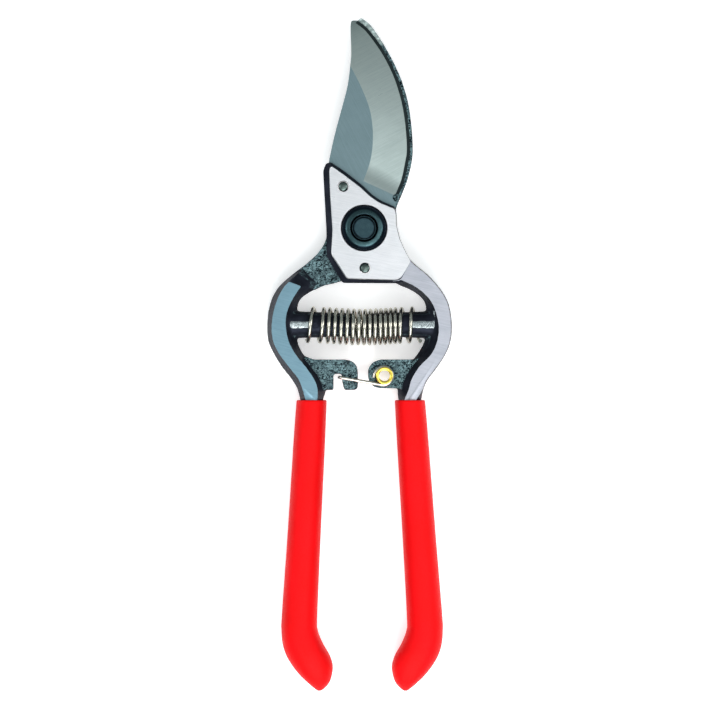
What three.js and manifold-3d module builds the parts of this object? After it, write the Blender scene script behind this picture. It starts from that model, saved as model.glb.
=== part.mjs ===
// Bypass pruner with forged handles, dipped grips, a coil return spring and a wire latch.
// Millimetres. The tool lies flat: +Y points to the blade's tip, +Z is up from the surface it lies on.
// The origin is on the pivot's axis, on the back face of the bolt's head.

import * as THREE from "three";
import Module from "manifold-3d";
import { mergeVertices } from "three/addons/utils/BufferGeometryUtils.js";

const wasm = await Module();
wasm.setup();

// ---- driving dimensions ----

const GAP = 0.3;                    // running clearance between neighbouring pieces
const ROUND = 40;                   // sides of a large round shape
const SMALL_ROUND = 24;             // sides of a small round shape

const BLADE_REACH = 70.6;           // pivot axis to the blade's tip
const GRIP_LENGTH = 98.8;           // open end of a grip to its toe

const BOLT_RADIUS = 4.0;
const BOLT_HEAD_ACROSS_FLATS = 12.7;
const BOLT_HEAD_HEIGHT = 3.0;
const BOLT_END_CHAMFER = 0.6;
const BOLT_PROUD = 0.4;             // how far the bolt's end stands out of the nut
const WASHER_RADIUS = 7.4;
const WASHER_THICKNESS = 0.9;
const JAW_THICKNESS = 4.7;          // hook jaw, web and hub of the hook forging
const BLADE_THICKNESS = 2.7;
const PLATE_THICKNESS = 3.2;
const PLATE_RIM = 0.9;              // height of the plate's upright edge below its bevel
const NUT_RADIUS = 7.4;
const NUT_HEIGHT = 2.3;
const NUT_CHAMFER = 1.3;
const NUT_RECESS = 1.2;             // how deep the nut sits in the plate

const ARM_HALF_HEIGHT = 6.5;        // half the depth of the forged arms
const PEG_ROOT_RADIUS = 4.8;
const PEG_TIP_RADIUS = 3.95;
const PEG_ROUNDING = 1.2;
const PEG_GAP = 3.8;                // between the two pegs' tips
const SPRING_WIRE_RADIUS = 0.65;
const SPRING_BOW = 0.8;             // sag of the spring's middle to one side
const END_PITCH_LEFT = 4.1;
const END_PITCH_RIGHT = 3.6;
const MAIN_TURNS = 14;
const MAIN_PITCH = 1.88;

const LUG_THICKNESS = 5.0;
const EYELET_BORE_RADIUS = 1.8;
const EYELET_WALL = 0.35;
const EYELET_FLANGE_RADIUS = 2.95;
const EYE_CLEARANCE = 0.45;         // between the eyelet's tube and the bail's eyes
const EYELET_FLANGE = 0.5;
const BAIL_WIRE_RADIUS = 0.55;
const BAIL_LENGTH = 15.3;           // eyelet axis to the bail's crossbar
const BLADE_PIN_RADIUS = 1.6;
const BLADE_PIN_DOME = 0.4;

const GRIP_WALL = 0.9;
const GRIP_HALF_HEIGHT = 8.5;
const GRIP_SQUARENESS = 2.6;        // superellipse exponent of a grip's section

// ---- layers, from the surface the tool lies on ----

const WASHER_Z = BOLT_HEAD_HEIGHT + GAP;
const JAW_Z = WASHER_Z + WASHER_THICKNESS + GAP;
const JAW_TOP = JAW_Z + JAW_THICKNESS;
const BLADE_Z = JAW_TOP + GAP;
const BLADE_TOP = BLADE_Z + BLADE_THICKNESS;
const PLATE_Z = BLADE_TOP + GAP;
const PLATE_TOP = PLATE_Z + PLATE_THICKNESS;
const NUT_Z = PLATE_TOP - NUT_RECESS + GAP;
const NUT_TOP = NUT_Z + NUT_HEIGHT;
const MID_Z = GRIP_HALF_HEIGHT;     // middle plane of arms, pegs, lugs and grips
const ARM_TOP = MID_Z + ARM_HALF_HEIGHT;
const ARM_BOTTOM = MID_Z - ARM_HALF_HEIGHT;
const LUG_Z = MID_Z - LUG_THICKNESS / 2;
const LUG_TOP = LUG_Z + LUG_THICKNESS;

// ---- places in plan ----

const PEG_Y = -32.7;
const PEG_MIDDLE_X = -1.25;         // middle of the space between the pegs' tips
const EYELET = new THREE.Vector2(6.9, -50.0);
const UPPER_PIN = new THREE.Vector2(-7.1, 14.1);
const LOWER_PIN = new THREE.Vector2(0.3, -13.6);
const HUB_RADIUS = 10.4;            // hub of the hook forging, under the plate
const CHOIL = new THREE.Vector2(11.1, 10.4);
const CHOIL_RADIUS = 1.4;
const SPRING_FIRST_X = -18.2;       // first front crossing of the spring's wire
const BAIL_ANGLE = THREE.MathUtils.degToRad(182.2);
const SLOT_LEFT_X = -10.4;
const GRIP_START_Y = -58.3;
const SPRING_MEAN_RADIUS = PEG_ROOT_RADIUS + GAP + SPRING_WIRE_RADIUS;

// ---- materials ----

const steel = (color, roughness) => new THREE.MeshStandardMaterial({ color, roughness, metalness: 1 });
const forged = steel(0x4a5356, 0.5);
const ground = steel(0xb9bcc4, 0.3);
const bladeSteel = steel(0x9ba39b, 0.28);
const springSteel = steel(0xd0cfc8, 0.2);
const blackSteel = steel(0x30343a, 0.4);
const brass = steel(0xd8c05a, 0.3);
const vinyl = new THREE.MeshStandardMaterial({ color: 0xf2211c, roughness: 0.5, metalness: 0 });

// ---- helpers ----

// A closed solid from any closed three.js geometry.
function solid(geometry) {
  const bare = geometry.index ? geometry.toNonIndexed() : geometry.clone();
  bare.deleteAttribute("normal");
  bare.deleteAttribute("uv");
  const merged = mergeVertices(bare, 1e-4);
  return new wasm.Manifold(new wasm.Mesh({
    numProp: 3,
    vertProperties: new Float32Array(merged.attributes.position.array),
    triVerts: new Uint32Array(merged.index.array),
  }));
}

// A named mesh from a solid.
function part(name, body, material) {
  const { vertProperties, triVerts } = body.getMesh();
  const geometry = new THREE.BufferGeometry();
  geometry.setAttribute("position", new THREE.BufferAttribute(vertProperties, 3));
  geometry.setIndex(new THREE.BufferAttribute(triVerts, 1));
  geometry.computeVertexNormals();
  const mesh = new THREE.Mesh(geometry, material);
  mesh.name = name;
  return mesh;
}

const union = (...bodies) => bodies.reduce((sum, body) => sum.add(body));

// An upright slab between two heights, from a plan outline.
function slab(shape, bottom, top, curveSegments = 8) {
  const geometry = new THREE.ExtrudeGeometry(shape, {
    depth: top - bottom, bevelEnabled: false, curveSegments,
  });
  return solid(geometry.translate(0, 0, bottom));
}

// A solid of revolution about an upright axis, from [radius, height] corners.
function turned(corners, centre = new THREE.Vector2(), sides = ROUND) {
  const profile = corners.map(([r, z]) => new THREE.Vector2(r, z));
  const geometry = new THREE.LatheGeometry([...profile, profile[0]], sides);
  return solid(geometry.rotateX(Math.PI / 2).translate(centre.x, centre.y, 0));
}

function disc(radius, bottom, top, centre, sides) {
  return turned([[0, bottom], [radius, bottom], [radius, top], [0, top]], centre, sides);
}

// A solid skinned over rings of points, each ring with the same number of points.
// Level rings may have any outline and run anticlockwise; others are convex.
function skinned(rings, level = false) {
  const count = rings[0].length;
  const positions = rings.flat().flatMap((p) => [p.x, p.y, p.z]);
  const index = [];
  for (let ring = 0; ring < rings.length - 1; ring++) {
    for (let i = 0; i < count; i++) {
      const a = ring * count + i;
      const b = ring * count + (i + 1) % count;
      index.push(a, b, a + count, b, b + count, a + count);
    }
  }
  const last = (rings.length - 1) * count;
  const fan = rings[0].slice(2).map((_, i) => [0, i + 1, i + 2]);
  const triangles = level ? THREE.ShapeUtils.triangulateShape(rings[0], []) : fan;
  for (const [a, b, c] of triangles) {
    index.push(a, c, b);
    index.push(last + a, last + b, last + c);
  }
  const geometry = new THREE.BufferGeometry();
  geometry.setAttribute("position", new THREE.Float32BufferAttribute(positions, 3));
  geometry.setIndex(index);
  const body = solid(geometry);
  if (body.volume() > 0) return body;
  geometry.setIndex(index.reverse());
  return solid(geometry);
}

const curve = (points) => new THREE.SplineCurve(points.map(([x, y]) => new THREE.Vector2(x, y)));

// A plan outline drawn through stretches; a stretch of three or more points is a smooth curve.
function outline(...stretches) {
  const shape = new THREE.Shape();
  stretches.forEach((stretch, order) => {
    const points = stretch.map(([x, y]) => new THREE.Vector2(x, y));
    if (order === 0) shape.moveTo(points[0].x, points[0].y);
    else shape.lineTo(points[0].x, points[0].y);
    if (points.length > 2) shape.splineThru(points.slice(1));
    else points.slice(1).forEach((p) => shape.lineTo(p.x, p.y));
  });
  shape.closePath();
  return shape;
}

// ---- blade and jaw outlines: [x, share of the way from the blade's root to its tip] ----

const BLADE_ROOT_Y = 16;
const fromRoot = (rows) => rows.map(([x, share]) => (
  [x, BLADE_ROOT_Y + share * (BLADE_REACH - BLADE_ROOT_Y)]
));
const JAW_OUTER = fromRoot([
  [14.6, 0], [16, 0.1], [16.6, 0.2], [16, 0.37], [14.6, 0.52], [12, 0.665], [7.9, 0.815],
  [2.6, 0.965], [-1.1, 1.02],
]);
const JAW_INNER = fromRoot([
  [-2.4, 0.995], [0.2, 0.916], [5, 0.751], [8.2, 0.549], [8.8, 0.36], [7.4, 0.18], [4, 0.05],
]);
const BLADE_EDGE = fromRoot([
  [11.4, -0.1], [13.6, 0], [14.9, 0.105], [15.6, 0.2], [15, 0.365], [13.6, 0.51], [11, 0.66], [7, 0.805],
  [1.7, 0.94], [-2.2, 1],
]);
const BLADE_BACK = fromRoot([
  [-3.9, 1], [-4.6, 0.97], [-4.4, 0.81], [-4.6, 0.74], [-5.6, 0.595], [-7.7, 0.445],
  [-9.9, 0.295], [-11.8, 0.14],
]);
const BEVEL_START = fromRoot([
  [-0.3, 0], [2, 0.12], [2.9, 0.233], [2.8, 0.346], [1.7, 0.458], [-1.1, 0.588],
  [-4.2, 0.7], [-6.5, 0.78],
]);

// ---- front plate outline: [top x, top y, base x, base y], with the bevel between ----

const PLATE_CORNERS = [
  [-10.6, 20.6, -11.4, 22.4], [-7.2, 18.2, -6.6, 19.2], [-1.2, 13.6, -0.6, 14.5],
  [1.9, 10.7, 2.4, 11.6], [4.9, 8.6, 5.3, 9.5], [8, 7.3, 8.2, 8.2], [10.2, 6.4, 10.7, 7.1],
  [10.7, 4.6, 11, 4.6], [10.8, 0.9, 11.1, 0.9], [11.9, -3.6, 12.2, -3.7],
  [14, -8.2, 14.3, -8.3], [15.8, -11.3, 16, -11.4], [12.5, -16.7, 12.6, -18.5],
  [11, -17.5, 11, -18.7], [-5.7, -17, -7.4, -18.6], [-10.9, -8.8, -12.7, -9.4],
  [-10.4, -0.6, -12.8, -0.6], [-11.2, 11.5, -13.5, 11.5], [-11.5, 19.1, -13.9, 19.5],
  [-11.3, 20.3, -13, 21.9],
];

// ---- arms, from the web down to the grip: outer edge, face's two edges, inner edge, top, bottom ----

const HOOK_ARM = [
  [[-19.6, -12], [-20.5, -13.6], [-17.5, -17], [-13, -19.2], JAW_TOP, JAW_Z],
  [[-24.2, -15.4], [-25.6, -18.3], [-21.5, -19.8], [-17, -21], ARM_TOP, ARM_BOTTOM],
  [[-28.6, -19.2], [-27.9, -21.2], [-23.3, -22.4], [-20.6, -23.2], ARM_TOP, ARM_BOTTOM],
  [[-31.2, -23.2], [-29.6, -24.8], [-24.9, -25.2], [-22.3, -25.6], ARM_TOP, ARM_BOTTOM],
  [[-32.6, -28], [-30.8, -28.8], [-26.4, -29], [-22.6, -29], ARM_TOP, ARM_BOTTOM],
  [[-33, -33], [-31.3, -33.3], [-26.7, -33.2], [-22.4, -33], ARM_TOP, ARM_BOTTOM],
  [[-32.7, -38], [-30.9, -38], [-25.8, -38], [-22.6, -38], ARM_TOP, ARM_BOTTOM],
  [[-30.9, -42.3], [-28.8, -42.5], [-23.5, -42.5], [-20.9, -42.2], ARM_TOP, ARM_BOTTOM],
  [[-27.9, -47.2], [-25.3, -47.2], [-19.9, -47], [-17.5, -46.5], ARM_TOP, ARM_BOTTOM],
  [[-24.9, -51], [-22.2, -51.2], [-17, -51.3], [-14, -51], ARM_TOP, ARM_BOTTOM],
  [[-22.8, -54.4], [-20.8, -54.8], [-15.8, -54.8], [-12.9, -54.6], ARM_TOP, ARM_BOTTOM],
];
const PLATE_ARM_TOP = PLATE_TOP - 0.5;
const PLATE_ARM = [
  [[14.4, -9], [14, -9.6], [9.6, -16.2], [8.6, -17.8], PLATE_ARM_TOP, PLATE_Z],
  [[17, -11.9], [16.6, -12.1], [12.7, -17.6], [12, -19.4], ARM_TOP, ARM_BOTTOM + 1],
  [[22, -16], [21.6, -16.2], [17, -19.6], [16.2, -21.2], ARM_TOP, ARM_BOTTOM],
  [[26.3, -21], [25.9, -21.2], [20.9, -22.6], [19.6, -23.8], ARM_TOP, ARM_BOTTOM],
  [[28.9, -26], [28.5, -26.1], [23.6, -26.4], [20.9, -26.8], ARM_TOP, ARM_BOTTOM],
  [[29.9, -32.8], [29.5, -32.8], [25.4, -32.8], [20.8, -32.8], ARM_TOP, ARM_BOTTOM],
  [[29.4, -38.4], [29, -38.4], [24.9, -38.4], [20.4, -38.2], ARM_TOP, ARM_BOTTOM],
  [[27.6, -43], [27.2, -43], [22.8, -42.9], [18, -42.6], ARM_TOP, ARM_BOTTOM],
  [[24.4, -47.8], [24, -47.7], [18.8, -47], [15, -46.5], ARM_TOP, ARM_BOTTOM],
  [[21.4, -51.8], [21, -51.7], [16.2, -51.3], [12.2, -51], ARM_TOP, ARM_BOTTOM],
  [[20.1, -55], [19.7, -55], [15.2, -54.8], [11.2, -54.8], ARM_TOP, ARM_BOTTOM],
];

// ---- grips: [distance from the toe, inner edge, outer edge, half height], about a straight axis ----

const GRIP_ROWS = [
  [GRIP_LENGTH, -5.2, 5.1, GRIP_HALF_HEIGHT], [GRIP_LENGTH * 0.85, -5.45, 5.35, GRIP_HALF_HEIGHT],
  [GRIP_LENGTH * 0.55, -5.7, 5.6, GRIP_HALF_HEIGHT], [25.7, -6.1, 6, GRIP_HALF_HEIGHT],
  [20.5, -6.6, 5.85, GRIP_HALF_HEIGHT],
  [16, -8.6, 5.2, GRIP_HALF_HEIGHT], [12.2, -11, 3.8, 8.3], [8.7, -12.3, 1.6, 7.7],
  [5.4, -12.2, -1.2, 6.6], [2.9, -11.5, -3.9, 5.2], [1, -10.1, -6.2, 3.2], [0, -8.8, -7.6, 1.2],
];
const LEFT_SIDE = { outward: -1, startX: -17.9, lean: 0.056 };
const RIGHT_SIDE = { outward: 1, startX: 15.6, lean: 0.068 };
const TANG_END = 7;                 // steel core's end, from the grip's toe
const TANG_COVER = 1.5;             // grip's thickness beyond its wall over the core's faces
const TANG_CREST = 2;               // width of the slope on each side of the core's face
const LUG_BOTTOM_Y = -54.9;
const BEVEL_OVERRUN = 1.12;         // how far the bevel's cut runs past the edge, as a share of its width
const EDGE_THICKNESS = 0.25;
const SPRING_END_TURNS = 0.35;      // wire beyond the first and last front crossings
const EYE_WRAP = THREE.MathUtils.degToRad(290);

// ---- steps along the curved shapes ----

const GRIP_STEPS = 36;
const GRIP_SIDES = 20;
const ARM_STEPS = 3;
const PEG_ROUND_STEPS = 3;
const BEVEL_STEPS = 20;
const SPRING_STEPS = 230;
const EYE_STEPS = 12;
const BAIL_STEPS = 70;

const gripInner = curve(GRIP_ROWS.map(([distance, inner]) => [distance, inner]));
const gripOuter = curve(GRIP_ROWS.map(([distance, , outer]) => [distance, outer]));
const gripHeight = curve(GRIP_ROWS.map(([distance, , , height]) => [distance, height]));

// The grip's section at a share of its length: distance from the toe, two edges and half height.
function gripSection(share) {
  return {
    distance: gripInner.getPoint(share).x,
    inner: gripInner.getPoint(share).y,
    outer: gripOuter.getPoint(share).y,
    height: gripHeight.getPoint(share).y,
  };
}

// A point of a grip in plan, from its distance along the axis and its offset away from the other handle.
function gripPoint(side, distance, offset) {
  const along = GRIP_LENGTH - distance;
  const x = side.startX + side.outward * (side.lean * along + offset);
  return new THREE.Vector2(x, GRIP_START_Y - along);
}

// The share of a grip's length at which a distance from its toe is reached.
function shareAt(distance) {
  let low = 0;
  let high = 1;
  for (let step = 0; step < 30; step++) {
    const middle = (low + high) / 2;
    if (gripInner.getPoint(middle).x > distance) low = middle;
    else high = middle;
  }
  return low;
}

// Shares of a grip's length from its open end down to a distance from its toe.
function sharesDownTo(distance) {
  const end = shareAt(distance);
  const steps = Math.floor(end * GRIP_STEPS);
  return [...Array(steps + 1).keys()].map((step) => step / GRIP_STEPS).concat(end);
}

// ---- arms ----

// A six-sided section of an arm: widest at its middle, with a flat face above and below.
function armRing([outer, outerCrest, innerCrest, inner], top, bottom) {
  const middle = (top + bottom) / 2;
  const corners = [
    [outer, middle], [outerCrest, top], [innerCrest, top],
    [inner, middle], [innerCrest, bottom], [outerCrest, bottom],
  ];
  return corners.map(([p, z]) => new THREE.Vector3(p.x, p.y, z));
}

// The steel core's edges inside a grip, at a share of the grip's length.
function tangEdges(side, share) {
  const section = gripSection(share);
  const outer = section.outer - GRIP_WALL - GAP;
  const inner = section.inner + GRIP_WALL + GAP;
  return [outer, outer - TANG_CREST, inner + TANG_CREST, inner].map(
    (offset) => gripPoint(side, section.distance, offset),
  );
}

const tangHalfHeight = (share) => (
  Math.min(ARM_HALF_HEIGHT, gripSection(share).height - GRIP_WALL - TANG_COVER)
);

// An arm from the web to the grip, and on inside the grip.
function arm(rows, side) {
  const stations = rows.map((row) => row.slice(0, 4).map(([x, y]) => new THREE.Vector2(x, y)));
  stations.push(tangEdges(side, 0));
  const heights = [...rows.map((row) => [row[4], row[5]]), [ARM_TOP, ARM_BOTTOM]];
  const edges = [0, 1, 2, 3].map((i) => new THREE.SplineCurve(stations.map((s) => s[i])));
  const tops = heights.map(([top]) => top);
  const bottoms = heights.map(([, bottom]) => bottom);
  const between = (values, place) => {
    const low = Math.min(Math.floor(place), values.length - 2);
    return values[low] + (place - low) * (values[low + 1] - values[low]);
  };
  const rings = [];
  const steps = rows.length * ARM_STEPS;
  for (let step = 0; step <= steps; step++) {
    const place = step / ARM_STEPS;
    const points = edges.map((edge) => edge.getPoint(step / steps));
    rings.push(armRing(points, between(tops, place), between(bottoms, place)));
  }
  for (const share of sharesDownTo(TANG_END).slice(1)) {
    const half = tangHalfHeight(share);
    rings.push(armRing(tangEdges(side, share), MID_Z + half, MID_Z - half));
  }
  return skinned(rings);
}

// A spring peg, pointing along +X or -X.
function peg(rootX, tipX) {
  const length = Math.abs(tipX - rootX);
  const profile = [new THREE.Vector2(0, 0), new THREE.Vector2(PEG_ROOT_RADIUS, 0)];
  for (let step = 0; step <= PEG_ROUND_STEPS; step++) {
    const angle = Math.PI / 2 * step / PEG_ROUND_STEPS;
    profile.push(new THREE.Vector2(
      PEG_TIP_RADIUS - PEG_ROUNDING * (1 - Math.cos(angle)),
      length - PEG_ROUNDING * (1 - Math.sin(angle)),
    ));
  }
  profile.push(new THREE.Vector2(0, length), profile[0]);
  const geometry = new THREE.LatheGeometry(profile, SMALL_ROUND);
  geometry.rotateZ(-Math.sign(tipX - rootX) * Math.PI / 2);
  return solid(geometry.translate(rootX, PEG_Y, MID_Z));
}

// ---- the two forgings ----

const CROSSBAR = new THREE.Vector2(
  EYELET.x + BAIL_LENGTH * Math.cos(BAIL_ANGLE),
  EYELET.y + BAIL_LENGTH * Math.sin(BAIL_ANGLE),
);

// The slot that the bail's crossbar drops into. Its right wall, the face of the tooth, is an arc
// about the eyelet, so the bail swings past it.
function latchSlot() {
  const toothRadius = BAIL_LENGTH - BAIL_WIRE_RADIUS - GAP;
  const top = CROSSBAR.y + BAIL_WIRE_RADIUS + 2 * GAP;
  const bottom = LUG_BOTTOM_Y - 1;
  const angleAt = (y) => Math.PI + Math.asin((EYELET.y - y) / toothRadius);
  const shape = new THREE.Shape();
  shape.moveTo(SLOT_LEFT_X, top);
  shape.lineTo(SLOT_LEFT_X, bottom);
  shape.absarc(EYELET.x, EYELET.y, toothRadius, angleAt(bottom), angleAt(top), true);
  return slab(shape, LUG_Z - 1, LUG_TOP + 1, 10);
}

function hookHandle() {
  const jaw = outline(
    JAW_OUTER,
    JAW_INNER,
    [[-1, 14.9], [-6, 13.4], [-10, 9.5], [-12.2, 4], [-12.6, -1.5], [-13.6, -5.2], [-16, -8.7]],
    [[-19.6, -12], [-24.2, -15.4]],
    [[-22, -19.6], [-17, -21]],
    [[-13.6, -19.4], [-8, -18], [-2, -15.2], [5, -9.1]],
    [[10.4, 1], [10.5, 4], [11.1, 7.5], [12.9, 11.7]],
  );
  const lug = outline(
    [[-20, -43.4], [-17, -44.5]],
    [[-6.5, -44.5], [-4.2, -45.1], [-2.6, -46.7], [-2.1, -48.9]],
    [[-2.1, -53.6], [-2.4, -54.4], [-3.2, LUG_BOTTOM_Y]],
    [[-16, LUG_BOTTOM_Y], [-20, -50]],
  );
  return union(
    slab(jaw, JAW_Z, JAW_TOP, 3),
    disc(HUB_RADIUS, JAW_Z, JAW_TOP),
    arm(HOOK_ARM, LEFT_SIDE),
    peg(-27, PEG_MIDDLE_X - PEG_GAP / 2),
    slab(lug, LUG_Z, LUG_TOP, 4).subtract(latchSlot()),
  ).subtract(disc(BOLT_RADIUS + GAP, JAW_Z - 1, JAW_TOP + 1));
}

function frontPlate() {
  const corners = [...PLATE_CORNERS].reverse();
  const ring = (from, z) => corners.map((row) => new THREE.Vector3(row[from], row[from + 1], z));
  return skinned([ring(2, PLATE_Z), ring(2, PLATE_Z + PLATE_RIM), ring(0, PLATE_TOP)], true);
}

function plateHandle() {
  const lug = outline(
    [[20, -43.2], [17, -44.5]],
    [[5.6, -44.5], [3.2, -45.4], [1.6, -47.3], [1.3, -49.6], [1.8, -52], [3.3, -53.7], [5.6, -54.3]],
    [[13.5, -54.4], [19, -50]],
  );
  const holeTop = PLATE_TOP + 1;
  const pinHole = BLADE_PIN_RADIUS + GAP;
  return union(
    frontPlate(),
    arm(PLATE_ARM, RIGHT_SIDE),
    peg(26, PEG_MIDDLE_X + PEG_GAP / 2),
    slab(lug, LUG_Z, LUG_TOP, 4),
  )
    .subtract(disc(BOLT_RADIUS + GAP, PLATE_Z - 1, holeTop))
    .subtract(disc(NUT_RADIUS + GAP, PLATE_TOP - NUT_RECESS, holeTop))
    .subtract(disc(pinHole, PLATE_Z - 1, holeTop, UPPER_PIN, SMALL_ROUND))
    .subtract(disc(pinHole, PLATE_Z - 1, holeTop, LOWER_PIN, SMALL_ROUND))
    .subtract(disc(EYELET_BORE_RADIUS + EYELET_WALL + GAP, LUG_Z - 1, LUG_TOP + 1, EYELET, SMALL_ROUND));
}

// ---- blade and its pins ----

// What the bevel takes off the blade: a wedge that opens from the bevel's start to the cutting edge.
function bevelCutter() {
  const start = curve(BEVEL_START);
  const edge = curve(BLADE_EDGE);
  const rings = [];
  for (let step = 0; step <= BEVEL_STEPS; step++) {
    const from = start.getPoint(step / BEVEL_STEPS);
    const beyond = from.clone().lerp(edge.getPoint(step / BEVEL_STEPS), BEVEL_OVERRUN);
    rings.push([
      new THREE.Vector3(from.x, from.y, BLADE_TOP + 0.01),
      new THREE.Vector3(beyond.x, beyond.y, BLADE_Z + EDGE_THICKNESS),
      new THREE.Vector3(beyond.x, beyond.y, BLADE_TOP + 1),
    ]);
  }
  return skinned(rings);
}

function blade() {
  const shape = outline(
    BLADE_EDGE,
    BLADE_BACK,
    [[-12.3, 17], [-12.1, -3]],
    [[-10.3, -9], [-6.3, -16.6]],
    [[5.8, -16.6], [8.4, -12.4]],
    [[9.6, -5], [10, 4.5]],
    [[10.4, 6.8], [11, 9]],
  );
  const cut = (radius, centre, sides) => disc(radius, BLADE_Z - 1, BLADE_TOP + 1, centre, sides);
  return slab(shape, BLADE_Z, BLADE_TOP, 3)
    .subtract(bevelCutter())
    .subtract(cut(CHOIL_RADIUS, CHOIL, SMALL_ROUND))
    .subtract(cut(BOLT_RADIUS + GAP))
    .subtract(cut(BLADE_PIN_RADIUS + GAP, UPPER_PIN, SMALL_ROUND))
    .subtract(cut(BLADE_PIN_RADIUS + GAP, LOWER_PIN, SMALL_ROUND));
}

function bladePin(centre) {
  return turned([
    [0, BLADE_Z], [BLADE_PIN_RADIUS, BLADE_Z], [BLADE_PIN_RADIUS, PLATE_TOP - 0.1],
    [BLADE_PIN_RADIUS * 0.6, PLATE_TOP + BLADE_PIN_DOME * 0.7], [0, PLATE_TOP + BLADE_PIN_DOME],
  ], centre, SMALL_ROUND);
}

// ---- pivot ----

function pivotBolt() {
  const headRadius = BOLT_HEAD_ACROSS_FLATS / 2 / Math.cos(Math.PI / 6);
  const end = NUT_TOP + BOLT_PROUD;
  const shank = turned([
    [0, BOLT_HEAD_HEIGHT / 2], [BOLT_RADIUS, BOLT_HEAD_HEIGHT / 2], [BOLT_RADIUS, end - BOLT_END_CHAMFER],
    [BOLT_RADIUS - BOLT_END_CHAMFER, end], [0, end],
  ]);
  return disc(headRadius, 0, BOLT_HEAD_HEIGHT, undefined, 6).add(shank);
}

function ringOf(inner, outer, bottom, top) {
  return turned([[inner, bottom], [outer, bottom], [outer, top], [inner, top]]);
}

function pivotNut() {
  return turned([
    [BOLT_RADIUS + GAP, NUT_Z], [NUT_RADIUS, NUT_Z], [NUT_RADIUS, NUT_TOP - NUT_CHAMFER * 0.7],
    [NUT_RADIUS - NUT_CHAMFER, NUT_TOP], [BOLT_RADIUS + GAP, NUT_TOP],
  ]);
}

// ---- spring and latch ----

class SpringPath extends THREE.Curve {
  getPoint(t) {
    const turns = SPRING_END_TURNS * 2 + MAIN_TURNS + 2;
    const turn = t * turns - SPRING_END_TURNS;
    const left = Math.min(turn, 1) * END_PITCH_LEFT;
    const main = THREE.MathUtils.clamp(turn - 1, 0, MAIN_TURNS) * MAIN_PITCH;
    const right = Math.max(turn - 1 - MAIN_TURNS, 0) * END_PITCH_RIGHT;
    const bow = SPRING_BOW * Math.sin(Math.PI * t) ** 2;
    const angle = 2 * Math.PI * turn;
    return new THREE.Vector3(
      SPRING_FIRST_X + left + main + right,
      PEG_Y - bow + SPRING_MEAN_RADIUS * Math.sin(angle),
      MID_Z + SPRING_MEAN_RADIUS * Math.cos(angle),
    );
  }
}

// A round wire along a path.
function wire(path, radius, sides, steps) {
  const section = new THREE.Shape();
  for (let i = 0; i < sides; i++) {
    const angle = 2 * Math.PI * i / sides;
    const move = i === 0 ? "moveTo" : "lineTo";
    section[move](radius * Math.cos(angle), radius * Math.sin(angle));
  }
  section.closePath();
  path.arcLengthDivisions = steps * 10;
  return solid(new THREE.ExtrudeGeometry(section, { steps, extrudePath: path, curveSegments: 1 }));
}

function pivotWasher() {
  return ringOf(BOLT_RADIUS + GAP, WASHER_RADIUS, WASHER_Z, WASHER_Z + WASHER_THICKNESS);
}

function returnSpring() {
  return wire(new SpringPath(), SPRING_WIRE_RADIUS, 8, SPRING_STEPS);
}

// Wire bail: an eye round the eyelet on each side of the lugs, two legs and a crossbar.
function latchBail() {
  const eyeRadius = EYELET_BORE_RADIUS + EYELET_WALL + EYE_CLEARANCE + BAIL_WIRE_RADIUS;
  const lift = LUG_THICKNESS / 2 + GAP + BAIL_WIRE_RADIUS;
  const tangent = BAIL_ANGLE + Math.acos(eyeRadius / BAIL_LENGTH);
  const half = [];
  for (let step = EYE_STEPS; step >= 0; step--) {
    const angle = tangent + EYE_WRAP * step / EYE_STEPS;
    half.push([EYELET.x + eyeRadius * Math.cos(angle), EYELET.y + eyeRadius * Math.sin(angle), lift]);
  }
  const [tangentX, tangentY] = half[half.length - 1];
  const legPoint = (share, z) => [
    tangentX + share * (CROSSBAR.x - tangentX), tangentY + share * (CROSSBAR.y - tangentY), z,
  ];
  half.push(legPoint(0.3, lift), legPoint(0.6, lift), legPoint(0.96, lift), legPoint(1, lift - 0.6));
  const toPoint = ([x, y, z]) => new THREE.Vector3(x, y, MID_Z + z);
  const other = half.map(([x, y, z]) => [x, y, -z]).reverse();
  const path = new THREE.CatmullRomCurve3([...half, ...other].map(toPoint), false, "centripetal");
  return wire(path, BAIL_WIRE_RADIUS, 8, BAIL_STEPS);
}

function latchEyelet() {
  const outer = EYELET_BORE_RADIUS + EYELET_WALL;
  const inside = LUG_THICKNESS / 2 + 2 * GAP + 2 * BAIL_WIRE_RADIUS;
  const outside = inside + EYELET_FLANGE;
  return turned([
    [EYELET_BORE_RADIUS, MID_Z - outside], [EYELET_FLANGE_RADIUS, MID_Z - outside],
    [EYELET_FLANGE_RADIUS, MID_Z - inside], [outer, MID_Z - inside],
    [outer, MID_Z + inside], [EYELET_FLANGE_RADIUS, MID_Z + inside],
    [EYELET_FLANGE_RADIUS, MID_Z + outside], [EYELET_BORE_RADIUS, MID_Z + outside],
  ], EYELET, SMALL_ROUND);
}

// ---- grips ----

// A rounded section of a grip, drawn in by an inset.
function gripRing(side, share, inset, shift = 0) {
  const { distance, inner, outer, height } = gripSection(share);
  const centre = (inner + outer) / 2;
  const halfWidth = (outer - inner) / 2 - inset;
  const power = 2 / GRIP_SQUARENESS;
  const ring = [];
  for (let i = 0; i < GRIP_SIDES; i++) {
    const angle = 2 * Math.PI * i / GRIP_SIDES;
    const across = Math.sign(Math.cos(angle)) * Math.abs(Math.cos(angle)) ** power;
    const up = Math.sign(Math.sin(angle)) * Math.abs(Math.sin(angle)) ** power;
    const p = gripPoint(side, distance + shift, centre + halfWidth * across);
    ring.push(new THREE.Vector3(p.x, p.y, MID_Z + (height - inset) * up));
  }
  return ring;
}

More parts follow.
